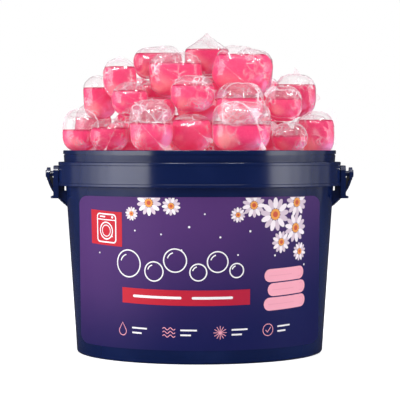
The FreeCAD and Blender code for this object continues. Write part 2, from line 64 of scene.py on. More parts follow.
# Packs seen from the front: share of the height that the liquid reaches, and how dark its
# colour is drawn, which is painted shade, strongest on the packs at the back and sides, mixed
# with a tone that differs from pack to pack. The others draw theirs.
SEEN_PACKS = {
    "left_front": (0.52, 0.1), "left_back": (0.70, 0.9), "left_shoulder": (0.71, 0.5),
    "front_left_low": (0.72, 0.7), "front_left": (0.54, 0.0), "front_left_outer": (0.74, 0.5),
    "front_middle": (0.84, 0.2), "front_middle_upper": (0.72, 0.1), "front_right": (0.53, 0.0),
    "front_right_upper": (0.62, 0.2), "front_right_outer": (0.63, 0.4),
    "front_right_low": (0.55, 0.5), "right_front": (0.80, 0.6), "right_shoulder": (0.74, 1.0),
    "upper_left": (0.78, 0.6), "upper_left_back": (0.76, 1.0), "upper_middle": (0.74, 0.1),
    "upper_right": (0.80, 0.2), "upper_right_back": (0.77, 1.0), "peak": (0.60, 0.5),
    "back_left": (0.97, 0.6), "back_upper_left": (0.96, 0.6), "left_rear": (0.97, 0.7),
}
# Packs that are rounder or squarer than the others
ROUNDNESS = {"upper_right": 0.42, "left_shoulder": 0.0, "upper_left_back": 0.0, "peak": 0.0,
             "left_back": 0.3, "right_shoulder": 0.3, "upper_left": 0.3, "left_rear": 0.0,
             "back_left": 0.0}
PEAKED_PACK = "peak"
# Groups of packs inside the heap that show between the others, and how full theirs are
HIDDEN_GROUPS = ["pods_layer_6", "pods_core_lower", "pods_core_upper"]
HIDDEN_SHARE = 0.95

# Film: how many dents go over a pack, and how deep the dents and creases are
BROAD_DENTS, FINE_DENTS, FINE_DEPTH = 1.4, 3.6, 0.45
CREASE_WIDTH, CREASE_DEPTH = 0.09, 0.9
# Loose film at the seam: its rows by reach and sway, half its thickness, its mean width and
# how far that varies, its broad and fine ruffles, and how far they sway
SEAM_ROWS = ((-0.0008, 0.0), (0.33, 0.35), (0.66, 0.8), (1.0, 1.0))
SEAM_HALF = 0.08 * MM
SEAM_MEAN, SEAM_VARIES, SEAM_PATCHES = 0.16, 2.0, 1.7
BROAD_RUFFLES, FINE_RUFFLES, RUFFLE_SWAY = 7.0, 15.0, 0.55
# The gap that it keeps, the free way from which a side is open, and what is left of it there
FREE_GAP = 0.4 * MM
OPEN_SIDE = 14 * MM
OPEN_SEAM = 0.06
HANDLE_THICK = 2.6 * MM

# How milky the film is over air, at its rim, in its creases and at its seam, and how glossy
AIR_VEIL, RIM_VEIL, CREASE_VEIL, SEAM_VEIL = 0.10, 0.26, 0.62, 0.16
RIM_GLOSS, FLAT_GLOSS = 0.46, 0.030
FOLD_BEND, RIDGE_DEPTH = 0.012, 0.55
HAZE_ROUGHNESS, GRAIN_DEPTH = 0.05, 0.05
# Where light gathers in the liquid: its side, where it starts and is whole, and its tint
GATHERED_LIGHT = (((0.62, -0.30, -0.62), 0.55, 1.10, (0.86, 0.32, 0.60)),
                  ((-0.28, -0.62, -0.40), 0.62, 0.98, (0.86, 0.30, 0.31)))

# How far the label's ground runs up, across and in clouds
GROUND_RISE, GROUND_SIDE, GROUND_CLOUD = 0.96, -0.61, 0.24
# Print stays this far under the label's upper edge, and bends with it at each step
PRINT_EDGE = 0.5 * MM
PRINT_STEP = 3 * MM

FLOOR_REACH, FLOOR_GLOW = 12.0, 0.60
LIT_MIDDLE = Vector((0, 0, 0.16))

# Kinds of settings
COLOUR = {"subtype": "COLOR", "size": 3, "min": 0, "max": 1}
SHARE = {"subtype": "FACTOR", "min": 0, "max": 1}
LENGTH = {"subtype": "DISTANCE", "unit": "LENGTH", "min": 0}
ANGLE = {"subtype": "ANGLE", "unit": "ROTATION"}


# What a user may change

class MouldedPlastic(bpy.types.PropertyGroup):
    colour: FloatVectorProperty(
        name="Plastic colour", description="Colour of the moulded plastic",
        default=(0.0028, 0.0095, 0.0560), **COLOUR)
    roughness: FloatProperty(
        name="Roughness", description="How soft its reflections are", default=0.15, **SHARE)
    ripple: FloatProperty(
        name="Ripple", description="Depth of the slow waves in the moulded surface",
        default=0.00008, **LENGTH)


class LabelPrint(bpy.types.PropertyGroup):
    upper: FloatVectorProperty(
        name="Upper colour", description="Print colour at the label's upper left",
        default=(0.082, 0.031, 0.152), **COLOUR)
    lower: FloatVectorProperty(
        name="Lower colour", description="Print colour at the label's lower right",
        default=(0.0078, 0.0102, 0.0810), **COLOUR)
    ink_lift: FloatProperty(
        name="Ink lift", description="Height of the ink over the label", default=0.00006,
        **LENGTH)
    ink_thick: FloatProperty(
        name="Ink thickness", description="Thickness of the ink", default=0.00005, **LENGTH)
    petals: IntProperty(
        name="Petals", description="Petals of each printed daisy", min=5, max=30, default=13)


class FilmPack(bpy.types.PropertyGroup):
    liquid: FloatVectorProperty(
        name="Liquid colour", description="Colour of the liquid",
        default=(0.86, 0.068, 0.192), **COLOUR)
    fullness: FloatProperty(
        name="Fullness", description="Size of a pack against the room that it has",
        subtype="FACTOR", min=0.5, max=1, default=0.998)
    softness: FloatProperty(
        name="Softness", description="How far a pack turns from a block to a pillow",
        default=0.16, **SHARE)
    dent: FloatProperty(
        name="Dent", description="Depth of the folds in the film against its size",
        subtype="FACTOR", min=0, max=0.3, default=0.034)
    seam: FloatProperty(
        name="Seam", description="Width of the loose film beside the crimped edge",
        default=0.0055, **LENGTH)
    film_gap: FloatProperty(
        name="Film gap", description="Room between the film and the liquid", default=0.0003,
        **LENGTH)
    cuts: IntProperty(
        name="Cuts", description="How finely a pack is divided", min=4, max=40, default=17)
    seed: IntProperty(name="Seed", description="Picks the folds of each pack", default=7)


class PhotoStage(bpy.types.PropertyGroup):
    distance: FloatProperty(
        name="Camera distance", description="From the lens to the pail's axis", default=1.430,
        **LENGTH)
    height: FloatProperty(
        name="Camera height", description="Height of the lens over the floor",
        default=0.1658, **LENGTH)
    tilt: FloatProperty(
        name="Camera tilt", description="How far the lens looks down",
        default=math.radians(1.645), **ANGLE)
    view_angle: FloatProperty(
        name="View angle", description="Width of the view", default=math.radians(13.24),
        **ANGLE)
    aside: FloatProperty(
        name="Camera aside", description="How far the lens stands to the right",
        subtype="DISTANCE", unit="LENGTH", default=0.00033)
    ambient: FloatProperty(
        name="Ambient", description="Light from the room", min=0, default=0.55)
    mirrored: FloatProperty(
        name="Mirrored room", description="Brightness of the room in reflections",
        min=0, default=0.05)


# Node helpers

def shader_node(tree, kind, inputs=None, **settings):
    """A node with its settings and its inputs, each a value or another node's output."""
    made = tree.nodes.new(kind)
    for name, value in settings.items():
        setattr(made, name, value)
    for name, value in (inputs or {}).items():
        if isinstance(value, bpy.types.NodeSocket):
            tree.links.new(value, made.inputs[name])
        else:
            made.inputs[name].default_value = value
    return made


def maths(tree, operation, first, second=0.0, clamp=False):
    """Output of one sum."""
    made = shader_node(tree, "ShaderNodeMath", {0: first, 1: second}, operation=operation,
                       use_clamp=clamp)
    return made.outputs[0]


def times(tree, first, second):
    return maths(tree, "MULTIPLY", first, second)


def plus(tree, first, second, clamp=False):
    return maths(tree, "ADD", first, second, clamp)


def blended(tree, share, first, second):
    """Output of one blend of two colours."""
    made = shader_node(tree, "ShaderNodeMix", {0: share, 6: first, 7: second},
                       data_type="RGBA")
    return made.outputs[2]


def mixed(tree, share, first, second):
    """Output of one blend of two shaders."""
    return shader_node(tree, "ShaderNodeMixShader", {0: share, 1: first, 2: second}).outputs[0]


def clouds(tree, place, scale, detail, **inputs):
    """Outputs of a soft noise over the surface."""
    return shader_node(tree, "ShaderNodeTexNoise", {
        "Vector": place, "Scale": scale, "Detail": detail, **inputs}).outputs


def marked(tree, name, output="Fac"):
    """Output of an attribute that a mesh carries."""
    return shader_node(tree, "ShaderNodeAttribute", attribute_name=name).outputs[output]


def ranged(tree, value, low, high, to_low=0.0, to_high=1.0):
    """Output of a smooth step from one range to another."""
    made = shader_node(tree, "ShaderNodeMapRange",
                       {0: value, 1: low, 2: high, 3: to_low, 4: to_high},
                       interpolation_type="SMOOTHSTEP")
    return made.outputs[0]


def solid(colour):
    return (*colour, 1.0)


def new_material(name):
    """An empty material with its output, and its tree."""
    material = bpy.data.materials.new(name)
    material.use_nodes = True
    tree = material.node_tree
    tree.nodes.clear()
    tree.nodes.new("ShaderNodeOutputMaterial")
    return material, tree


def finish_material(tree, shader):
    out = next(n for n in tree.nodes if n.type == "OUTPUT_MATERIAL")
    tree.links.new(shader, out.inputs["Surface"])


def surfaced(tree, colour, skin, sockets):
    """Ends a material in one shader with a colour, a skin's normal and its own sockets."""
    shader = shader_node(tree, "ShaderNodeBsdfPrincipled",
                         {"Base Color": colour, "Normal": skin["Normal"], **sockets})
    finish_material(tree, shader.outputs[0])


def object_place(tree):
    return tree.nodes.new("ShaderNodeTexCoord").outputs["Object"]


def group_shell(name, inputs, outputs, kind="ShaderNodeTree"):
    """A node group. Each of its sockets says its kind, or has a number as its default."""
    tree = bpy.data.node_groups.new(name, kind)
    for side, sockets in (("INPUT", inputs), ("OUTPUT", outputs)):
        for label, value in sockets.items():
            named = {int: "Int", float: "Float"}.get(type(value), value)
            socket = tree.interface.new_socket(label, in_out=side,
                                               socket_type="NodeSocket" + named)
            if named != value:
                socket.default_value = value
    return tree, tree.nodes.new("NodeGroupInput").outputs, tree.nodes.new("NodeGroupOutput")


def close_group(tree, result, height, depth, **values):
    """Feeds a group's outputs, its normal from a height of some depth."""
    bump = shader_node(tree, "ShaderNodeBump",
                       {"Strength": 1.0, "Distance": depth, "Height": height})
    for name, value in {**values, "Normal": bump.outputs[0]}.items():
        tree.links.new(value, result.inputs[name])
    return tree


def surface_skin_group(name):
    """Slow ripples, fine grain and faint haze of a moulded or printed plastic skin."""
    tree, given, result = group_shell(
        name, {"Place": "Vector", "Roughness": 0.25, "Ripple": 0.0001, "Grain size": 900.0},
        {"Roughness": "Float", "Mask": "Float", "Normal": "Vector"})
    slow = clouds(tree, given["Place"], 34.0, 2.0)[0]
    grain = clouds(tree, given["Place"], given["Grain size"], 3.0)[0]
    haze = clouds(tree, given["Place"], 18.0, 5.0)[0]
    mask = ranged(tree, haze, 0.38, 0.68)
    rough = plus(tree, given["Roughness"], times(tree, mask, HAZE_ROUGHNESS))
    height = plus(tree, slow, times(tree, grain, GRAIN_DEPTH))
    return close_group(tree, result, height, given["Ripple"], Roughness=rough, Mask=mask)


def film_fold_group(name):
    """Sharp folds and soft crumples of thin film."""
    tree, given, result = group_shell(
        name, {"Place": "Vector", "Fold size": 110.0, "Depth": 0.00045},
        {"Mask": "Float", "Normal": "Vector"})
    bend = clouds(tree, given["Place"], 60.0, 2.0)
    push = shader_node(tree, "ShaderNodeVectorMath", {0: bend["Color"], "Scale": FOLD_BEND},
                       operation="SCALE").outputs[0]
    moved = shader_node(tree, "ShaderNodeVectorMath", {0: given["Place"], 1: push},
                        operation="ADD").outputs[0]
    cells = shader_node(tree, "ShaderNodeTexVoronoi",
                        {"Vector": moved, "Scale": given["Fold size"]},
                        feature="DISTANCE_TO_EDGE").outputs
    crumple = clouds(tree, moved, 190.0, 4.0)[0]
    ridge = ranged(tree, cells["Distance"], 0.0, 0.16, 1.0, 0.0)
    patch = ranged(tree, bend[0], 0.50, 0.66)
    mask = times(tree, ridge, patch)
    height = plus(tree, times(tree, mask, RIDGE_DEPTH), crumple)
    return close_group(tree, result, height, given["Depth"], Mask=mask)


def placed_group(tree, name, make, values):
    """Outputs of a shared node group, which is made on its first use."""
    group = bpy.data.node_groups.get(name) or make(name)
    return shader_node(tree, "ShaderNodeGroup", values, node_tree=group).outputs


def plastic_skin(tree, place, roughness, ripple):
    return placed_group(tree, "Plastic skin", surface_skin_group,
                        {"Place": place, "Roughness": roughness, "Ripple": ripple})


def film_folds(tree, place, sizes):
    return placed_group(tree, "Film folds", film_fold_group, {"Place": place, **sizes})


# Materials

def moulded_plastic(name, look):
    """Deep glossy plastic as it comes out of the mould."""
    material, tree = new_material(name)
    skin = plastic_skin(tree, object_place(tree), look.roughness, look.ripple)
    paler = tuple(c * 1.25 + 0.0006 for c in look.colour)
    colour = blended(tree, skin["Mask"], solid(look.colour), solid(paler))
    surfaced(tree, colour, skin, {"Roughness": skin["Roughness"], "IOR": 1.5})
    return material


def label_ground(look):
    """Printed film: purple at the upper left running to navy, with soft clouds in it."""
    material, tree = new_material("label_ground")
    place = object_place(tree)
    axes = shader_node(tree, "ShaderNodeSeparateXYZ", {0: place}).outputs
    low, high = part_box("front_label")
    cloud = clouds(tree, place, 14.0, 3.0)[0]
    rise = times(tree, axes["Z"], GROUND_RISE / (high.z - low.z))
    side = times(tree, axes["X"], GROUND_SIDE / (high.x - low.x))
    along = plus(tree, plus(tree, rise, side), times(tree, cloud, GROUND_CLOUD))
    start = -0.02 + GROUND_RISE * low.z / (high.z - low.z)
    share = ranged(tree, along, start + 0.12, start + 1.12)
    colour = blended(tree, share, solid(look.lower), solid(look.upper))
    skin = plastic_skin(tree, place, 0.40, 0.00003)
    surfaced(tree, colour, skin, {"Roughness": skin["Roughness"], "IOR": 1.45,
                                  "Specular IOR Level": 0.12})
    return material


def ink(name, first, second=None):
    """Flat print, or one that runs from a first colour on the left to a second."""
    material, tree = new_material(name)
    place = object_place(tree)
    axes = shader_node(tree, "ShaderNodeSeparateXYZ", {0: place}).outputs
    speck = clouds(tree, place, 260.0, 2.0)[0]
    low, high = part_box("front_label")
    across = ranged(tree, axes["X"], low.x, high.x)
    share = plus(tree, across, times(tree, speck, 0.08), clamp=True)
    colour = blended(tree, share, solid(first), solid(second or [c * 0.9 for c in first]))
    skin = plastic_skin(tree, place, 0.42, 0.00002)
    surfaced(tree, colour, skin, {"Roughness": skin["Roughness"], "Specular IOR Level": 0.22})
    return material


def clear_film():
    """Thin clear film: sharp glints, grey over air, and milky where it is creased, with a faint
    painted glow all over that is stronger in its creases and seam.
    """
    material, tree = new_material("clear_film")
    place = object_place(tree)
    folds = film_folds(tree, place, {})
    crush = film_folds(tree, place, {"Fold size": 230.0, "Depth": 0.0003})
    seam, edge, over = [marked(tree, name) for name in ("seam", "edge", "over")]
    facing = shader_node(tree, "ShaderNodeLayerWeight", {"Blend": 0.5}).outputs["Facing"]
    air = ranged(tree, over, 0.0, 0.0012)
    white = maths(tree, "MAXIMUM", times(tree, folds["Mask"], 0.45),
                  times(tree, edge, crush["Mask"]))
    veil = times(tree, air, AIR_VEIL)
    for part, share in ((maths(tree, "POWER", facing, 4.0), RIM_VEIL), (white, CREASE_VEIL),
                        (seam, SEAM_VEIL)):
        veil = plus(tree, veil, times(tree, part, share))
    veil = plus(tree, veil, 0.02, clamp=True)
    creases = maths(tree, "MAXIMUM", white, seam)
    tone = blended(tree, creases, solid((0.72, 0.60, 0.66)), solid((0.80, 0.74, 0.79)))
    # Painted glow: a faint pink glow on all the film, stronger in its creases and seam, lifts
    # them out of shade.
    painted_glow = plus(tree, times(tree, creases, 0.34), 0.10)
    milk = shader_node(tree, "ShaderNodeBsdfPrincipled",
                       {"Base Color": tone, "Roughness": 0.3, "Alpha": veil,
                        "Emission Color": solid((1.0, 0.86, 0.92)),
                        "Emission Strength": painted_glow, "Normal": folds["Normal"]})
    gloss = shader_node(tree, "ShaderNodeBsdfGlossy",
                        {"Color": solid((1, 1, 1)), "Roughness": 0.09,
                         "Normal": folds["Normal"]})
    share = plus(tree, times(tree, maths(tree, "POWER", facing, 6.0), RIM_GLOSS), FLAT_GLOSS)
    finish_material(tree, mixed(tree, share, milk.outputs[0], gloss.outputs[0]))
    return material


def pink_liquid(look):
    """Hot pink liquid: a painted glow stands in for light passing through it, with painted paler
    spots where light gathers and a painted dark line at its level.
    """
    material, tree = new_material("pink_liquid")
    place = object_place(tree)
    depth, own = marked(tree, "depth"), marked(tree, "tone_and_shade")
    inside = marked(tree, "inside", "Vector")
    warm = clouds(tree, place, 26.0, 1.0)[0]
    streak = clouds(tree, place, 52.0, 2.0, Distortion=0.8)[0]
    red, green, blue = look.liquid
    deeper = (red * 0.90, green * 0.60, blue * 0.86)
    darkest_tone_and_shade = (red * 0.70, green * 0.54, blue * 0.64)
    colour = blended(tree, ranged(tree, warm, 0.36, 0.60), solid(deeper), solid(look.liquid))
    # Darker liquid per pack: painted shade, strongest on the packs at the back and sides, mixed
    # with a tone that differs from pack to pack.
    colour = blended(tree, times(tree, own, 0.85), colour, solid(darkest_tone_and_shade))
    for way, low, high, tint in GATHERED_LIGHT:
        toward = shader_node(tree, "ShaderNodeVectorMath", {0: inside, 1: way},
                             operation="DOT_PRODUCT").outputs["Value"]
        spot = times(tree, ranged(tree, toward, low, high), ranged(tree, streak, 0.36, 0.62))
        colour = blended(tree, spot, colour, solid(tint))
    # Painted shade: a dark line along the liquid's level.
    line = ranged(tree, depth, 0.0005, 0.0020, 0.85, 0.0)
    colour = blended(tree, line, colour, solid((0.36, 0.012, 0.060)))
    # Painted glow: the liquid glows in its own colour in place of light that passes through it.
    surfaced(tree, colour, film_folds(tree, place, {"Depth": 0.0004}), {
        "Roughness": 0.24, "IOR": 1.38, "Emission Color": colour, "Emission Strength": 0.27,
        "Subsurface Weight": 0.35, "Subsurface Radius": (0.012, 0.004, 0.006),
        "Subsurface Scale": 1.0})
    return material


# Mesh helpers

def linked(name, data, material=None):
    """An object in the scene; a piece is at the origin, with its place in its mesh."""
    if material:
        data.materials.append(material)
    made = bpy.data.objects.new(name, data)
    bpy.context.scene.collection.objects.link(made)
    return made


def mesh_object(name, verts, faces, material, smooth=True):
    """A piece from its points and faces."""
    mesh = bpy.data.meshes.new(name)
    mesh.from_pydata(verts, [], faces)
    mesh.polygons.foreach_set("use_smooth", [smooth] * len(mesh.polygons))
    mesh.update()
    return linked(name, mesh, material)


def worked_object(name, work, material):
    """A piece from a finished bmesh, which is freed."""
    mesh = bpy.data.meshes.new(name)
    work.to_mesh(mesh)
    work.free()
    return linked(name, mesh, material)


def sliced(work, point, normal, clear=False):
    """Cuts a bmesh along a plane, and gives what lies in the cut."""
    return bmesh.ops.bisect_plane(
        work, geom=work.verts[:] + work.edges[:] + work.faces[:], plane_co=point,
        plane_no=normal, clear_outer=clear)["geom_cut"]


def merged_solids(cad):
    """Each closed solid of a CAD piece: its corners, its triangles and its bounds."""
    work = bmesh.new()
    work.from_mesh(cad.data)
    bmesh.ops.remove_doubles(work, verts=work.verts, dist=2e-6)
    work.verts.ensure_lookup_table()
    seen, found = set(), []
    for start in work.verts:
        if start.index in seen:
            continue
        stack, island = [start], []
        seen.add(start.index)
        while stack:
            vert = stack.pop()
            island.append(vert)
            for edge in vert.link_edges:
                other = edge.other_vert(vert)
                if other.index not in seen:
                    seen.add(other.index)
                    stack.append(other)
        order = {vert.index: i for i, vert in enumerate(island)}
        faces = {face for vert in island for face in vert.link_faces}
        places = [vert.co.copy() for vert in island]
        low = Vector([min(p[i] for p in places) for i in range(3)])
        high = Vector([max(p[i] for p in places) for i in range(3)])
        found.append((places, [[order[v.index] for v in f.verts] for f in faces], low, high))
    work.free()
    return sorted(found, key=lambda item: tuple(round(c, 4) for c in item[2]))


def ball_grid(cuts):
    """Directions and quads of a cube blown up to a ball."""
    work = bmesh.new()
    bmesh.ops.create_cube(work, size=2)
    bmesh.ops.subdivide_edges(work, edges=work.edges[:], cuts=cuts, use_grid_fill=True)
    ways = [vert.co.normalized() for vert in work.verts]
    faces = [[vert.index for vert in face.verts] for face in work.faces]
    work.free()
    return ways, faces


# Film packs

class PackForm:
    """The form of one film pack inside the room that its solid gives it."""

    def __init__(self, solid_parts, look, seed, peaked=False):
        places, faces, self.low, self.high = solid_parts
        self.tree = BVHTree.FromPolygons(places, faces)
        self.centre = (self.low + self.high) / 2
        self.half = (self.high - self.low) / 2
        self.look = look
        self.softness = look.softness
        self.peaked = peaked
        draw = random.Random(look.seed * 1000 + seed)
        self.shift = Vector([draw.uniform(-9, 9) for _ in range(3)])
        self.creases = [Vector([draw.gauss(0, 1) for _ in range(3)]).normalized()
                        for _ in range(3)]
        self.share = draw.uniform(0.66, 0.86)
        self.tone_and_shade = draw.uniform(0.0, 1.0)
        self.seam_tilt = Vector((draw.gauss(0, 0.35), draw.gauss(0.25, 0.6),
                                 draw.gauss(0, 0.5))).normalized()

    def room(self, way):
        """Distance from the middle to the solid's skin."""
        hit, _, _, far = self.tree.ray_cast(self.centre, way)
        return far if hit else min(self.half)

    def dents(self, way, size):
        """Soft dents from nothing to one."""
        return noise.noise(way * size + self.shift) * 0.5 + 0.5

    def radius(self, way):
        """Distance from the middle to the film."""
        block = self.room(way)
        pillow = 1 / math.sqrt(sum((w / h) ** 2 for w, h in zip(way, self.half)))
        soft = block + (pillow - block) * self.softness
        fold = self.dents(way, BROAD_DENTS) + FINE_DEPTH * self.dents(way, FINE_DENTS)
        for crease in self.creases:
            sharp = math.exp(-(way.dot(crease) / CREASE_WIDTH) ** 2)
            fold += CREASE_DEPTH * sharp * max(way.z + 0.4, 0)
        return soft * (self.look.fullness - self.look.dent * fold)

    def film_point(self, way):
        place = self.centre + way * self.radius(way)
        return self.pulled_up(place) if self.peaked else place

    def pulled_up(self, place):
        """Draws the top of the highest pack's film together into a point."""
        start = self.level()
        if place.z <= start:
            return place
        share = (place.z - start) / (self.high.z * 0.998 - start)
        narrow = 1 - min(max(share, 0), 1) ** 0.85 * 0.95
        middle = Vector((self.centre.x, self.centre.y, place.z))
        return middle + (place - middle) * narrow

    def level(self):
        """Height of the liquid."""
        return self.low.z + (self.high.z - self.low.z) * self.share

    def inside(self, place):
        """Place from the middle, where each side of the solid is at one."""
        return Vector([(p - c) / h for p, c, h in zip(place, self.centre, self.half)])

    def edge(self, place):
        """One along the pack's edges, nothing in the middle of its sides."""
        second = sorted(abs(c) for c in self.inside(place))[1]
        return min(max((second - 0.34) / 0.30, 0), 1)


class OpenRoom:
    """How far loose film may stand out: up to the next solid and under the handle's path."""

    def __init__(self):
        verts, faces = [], []
        for node, cad in NODES.items():
            if node in ("bail_handle", "front_label"):
                continue
            first = len(verts)
            verts += [v.co.copy() for v in cad.data.vertices]
            faces += [[first + i for i in p.vertices] for p in cad.data.polygons]
        self.tree = BVHTree.FromPolygons(verts, faces)
        self.hinge = Vector(frame["joints"][0]["pos_m"])
        self.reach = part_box("bail_handle")[1].x - HANDLE_THICK - FREE_GAP

    def ahead(self, place, way):
        """Free way from a place on a pack's skin."""
        start = place + way * FREE_GAP
        hit, _, _, far = self.tree.ray_cast(start, way)
        free = far - FREE_GAP if hit else 1.0
        out = start - self.hinge
        along = out.dot(way)
        under = self.reach ** 2 - out.length_squared + along ** 2
        swing = math.sqrt(under) - along if under > 0 else 0.0
        return max(min(free, swing), 0.0)


def seam_strip(form, first, open_room, segments=84):
    """Closed thin strip round a pack: loose ruffled film beside its crimped edge."""
    normal = form.seam_tilt
    side = normal.cross(UP).normalized()
    other = normal.cross(side)
    verts, faces = [], []
    for i in range(segments):
        angle = 2 * math.pi * i / segments
        way = side * math.cos(angle) + other * math.sin(angle)
        base = form.film_point(way)
        skin = form.centre + way * form.room(way)
        patch = noise.noise(way * SEAM_PATCHES - form.shift)
        width = form.look.seam * max(SEAM_MEAN + SEAM_VARIES * patch, 0.0)
        free = open_room.ahead(skin, way)
        width = min(width, free) if free < OPEN_SIDE else width * OPEN_SEAM
        wave = noise.noise(way * BROAD_RUFFLES + form.shift)
        wave += 0.5 * noise.noise(way * FINE_RUFFLES + form.shift)
        for reach, sway in SEAM_ROWS:
            out = reach * width if reach > 0 else reach
            place = base + way * out + normal * (wave * width * RUFFLE_SWAY * sway)
            verts += [place + normal * SEAM_HALF, place - normal * SEAM_HALF]
    row = len(SEAM_ROWS) * 2
    for i in range(segments):
        a, b = first + i * row, first + (i + 1) % segments * row
        for k in range(0, row - 2, 2):
            faces.append([a + k, a + k + 2, b + k + 2, b + k])
            faces.append([a + k + 1, b + k + 1, b + k + 3, a + k + 3])
        faces.append([a + row - 2, a + row - 1, b + row - 1, b + row - 2])
        faces.append([a, b, b + 1, a + 1])
    return verts, faces


def film_mesh(name, forms, grid, material, open_room):
    """The films of some packs as one piece, each with its crimped edge."""
    ways, quads = grid
    verts, faces = [], []
    marks = {"seam": [], "edge": [], "over": []}
    for form in forms:
        first = len(verts)
        films = [form.film_point(way) for way in ways]
        strip, strip_faces = seam_strip(form, first + len(ways), open_room)
        verts += films + strip
        faces += [[first + i for i in quad] for quad in quads] + strip_faces
        marks["seam"] += [0.0] * len(films) + [1.0] * len(strip)
        marks["edge"] += [form.edge(p) for p in films] + [0.5] * len(strip)
        marks["over"] += [p.z - form.level() for p in films + strip]
    made = mesh_object(name, verts, faces, material)
    for mark, values in marks.items():
        made.data.attributes.new(mark, "FLOAT", "POINT").data.foreach_set("value", values)
    face_outwards(made)
    return made


def face_outwards(piece):
    work = bmesh.new()
    work.from_mesh(piece.data)
    bmesh.ops.recalc_face_normals(work, faces=work.faces)
    work.to_mesh(piece.data)
    work.free()


def liquid_mesh(name, forms, grid, material):
    """What stands in some packs, cut off flat at each one's level."""
    ways, quads = grid
    whole = bmesh.new()
    depth = whole.verts.layers.float.new("depth")
    inside = whole.verts.layers.float_vector.new("inside")
    tone_and_shade = whole.verts.layers.float.new("tone_and_shade")
    for form in forms:
        part = bmesh.new()
        inner = [part.verts.new(form.film_point(way) - way * form.look.film_gap)
                 for way in ways]
        for quad in quads:
            part.faces.new([inner[i] for i in quad])
        level = form.level()
        cut = sliced(part, (0, 0, level), UP, clear=True)
        ring = [item for item in cut if isinstance(item, bmesh.types.BMEdge)]
        bmesh.ops.edgeloop_fill(part, edges=ring)
        bmesh.ops.recalc_face_normals(part, faces=part.faces)
        copies = {}
        for vert in part.verts:
            copy = whole.verts.new(vert.co)
            copy[depth] = level - vert.co.z
            copy[inside] = form.inside(vert.co)
            copy[tone_and_shade] = form.tone_and_shade
            copies[vert] = copy
        for face in part.faces:
            whole.faces.new([copies[vert] for vert in face.verts]).smooth = len(face.verts) < 7
        part.free()
    return worked_object(name, whole, material)


def dress_packs(node, forms, grid, film, liquid, open_room):
    """Film and liquid in place of one CAD piece."""
    packs = film_mesh(node + "_film", forms, grid, film, open_room)
    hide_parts(node)
    drink = liquid_mesh(node + "_liquid", forms, grid, liquid)
    for piece, slot in ((packs, "pod_film"), (drink, "pod_liquid")):
        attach(piece, "tub")


# Label print, drawn flat in metres and then wrapped on the wall

class LabelWrap:
    """Places flat print on the label's cone."""

    def __init__(self, look):
        low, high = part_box("front_label")
        corners = [v.co for v in NODES["front_label"].data.vertices]
        near_low = max(math.hypot(c.x, c.y) for c in corners if c.z < low.z + 0.5 * MM)
        near_high = max(math.hypot(c.x, c.y) for c in corners if c.z > high.z - 0.5 * MM)
        self.slope = (near_high - near_low) / (high.z - low.z)
        self.low, self.high, self.radius = low.z, high.z, near_low
        self.lift, self.thick = look.ink_lift, look.ink_thick

    def place(self, u, v, lift):
        """Point for a place u to the right of the middle and v over the label's foot."""
        bow = u * u * self.slope / (2 * self.radius)
        z = self.low + v + bow
        radius = self.radius + self.slope * (z - self.low)
        angle = u / radius
        out = radius + self.lift + lift
        return Vector((out * math.sin(angle), -out * math.cos(angle), z))


def disc(u, v, radius, count):
    return [(u + radius * math.cos(2 * math.pi * i / count),
             v + radius * math.sin(2 * math.pi * i / count)) for i in range(count)]


def bar(u, v, width, height, rounding=0.0, turn=0.0):
    """Rounded bar about (u, v)."""
    corners = []
    rounding = min(rounding, width / 2, height / 2)
    for sx, sy, start in ((1, 1, 0), (-1, 1, 90), (-1, -1, 180), (1, -1, 270)):
        for step in range(5 if rounding else 1):
            angle = math.radians(start + 22.5 * step)
            corners.append((sx * (width / 2 - rounding) + rounding * math.cos(angle),
                            sy * (height / 2 - rounding) + rounding * math.sin(angle)))
    c, s = math.cos(math.radians(turn)), math.sin(math.radians(turn))
    return [(u + x * c - y * s, v + x * s + y * c) for x, y in corners]


def stroke(points, width, closed=False):
    """Quads along a line, mitred at its corners."""
    count = len(points)
    sides = []
    for i, (x, y) in enumerate(points):
        before = points[i - 1] if closed or i else points[i]
        after = points[(i + 1) % count] if closed or i < count - 1 else points[i]
        along = Vector((after[0] - before[0], after[1] - before[1])).normalized()
        off = Vector((-along.y, along.x)) * width / 2
        sides.append(((x + off.x, y + off.y), (x - off.x, y - off.y)))
    spans = range(count if closed else count - 1)
    return [[sides[i][0], sides[i][1], sides[(i + 1) % count][1], sides[(i + 1) % count][0]]
            for i in spans]


def wrapped_print(name, shapes, material, wrap, layer=0):
    """Prints flat shapes on the label as one thin closed piece, in a layer of ink."""
    work = bmesh.new()
    for shape in shapes:
        face = work.faces.new([work.verts.new((u, v, 0)) for u, v in shape])
        if face.calc_area() and face.normal.z < 0:
            face.normal_flip()
    bmesh.ops.triangulate(work, faces=work.faces[:])
    reach = int(max(abs(vert.co.x) for vert in work.verts) / PRINT_STEP)
    for k in range(-reach, reach + 1):
        sliced(work, (k * PRINT_STEP, 0, 0), (1, 0, 0))
    for vert in work.verts:
        vert.co = wrap.place(vert.co.x, vert.co.y, layer * (wrap.thick + wrap.lift))
    sliced(work, (0, 0, wrap.high - PRINT_EDGE), UP, clear=True)
    made = bmesh.ops.extrude_face_region(work, geom=work.faces[:])
    for vert in (item for item in made["geom"] if isinstance(item, bmesh.types.BMVert)):
        vert.co += Vector((vert.co.x, vert.co.y, 0)).normalized() * wrap.thick
    bmesh.ops.recalc_face_normals(work, faces=work.faces)
    piece = worked_object(name, work, material)
    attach(piece, "tub")


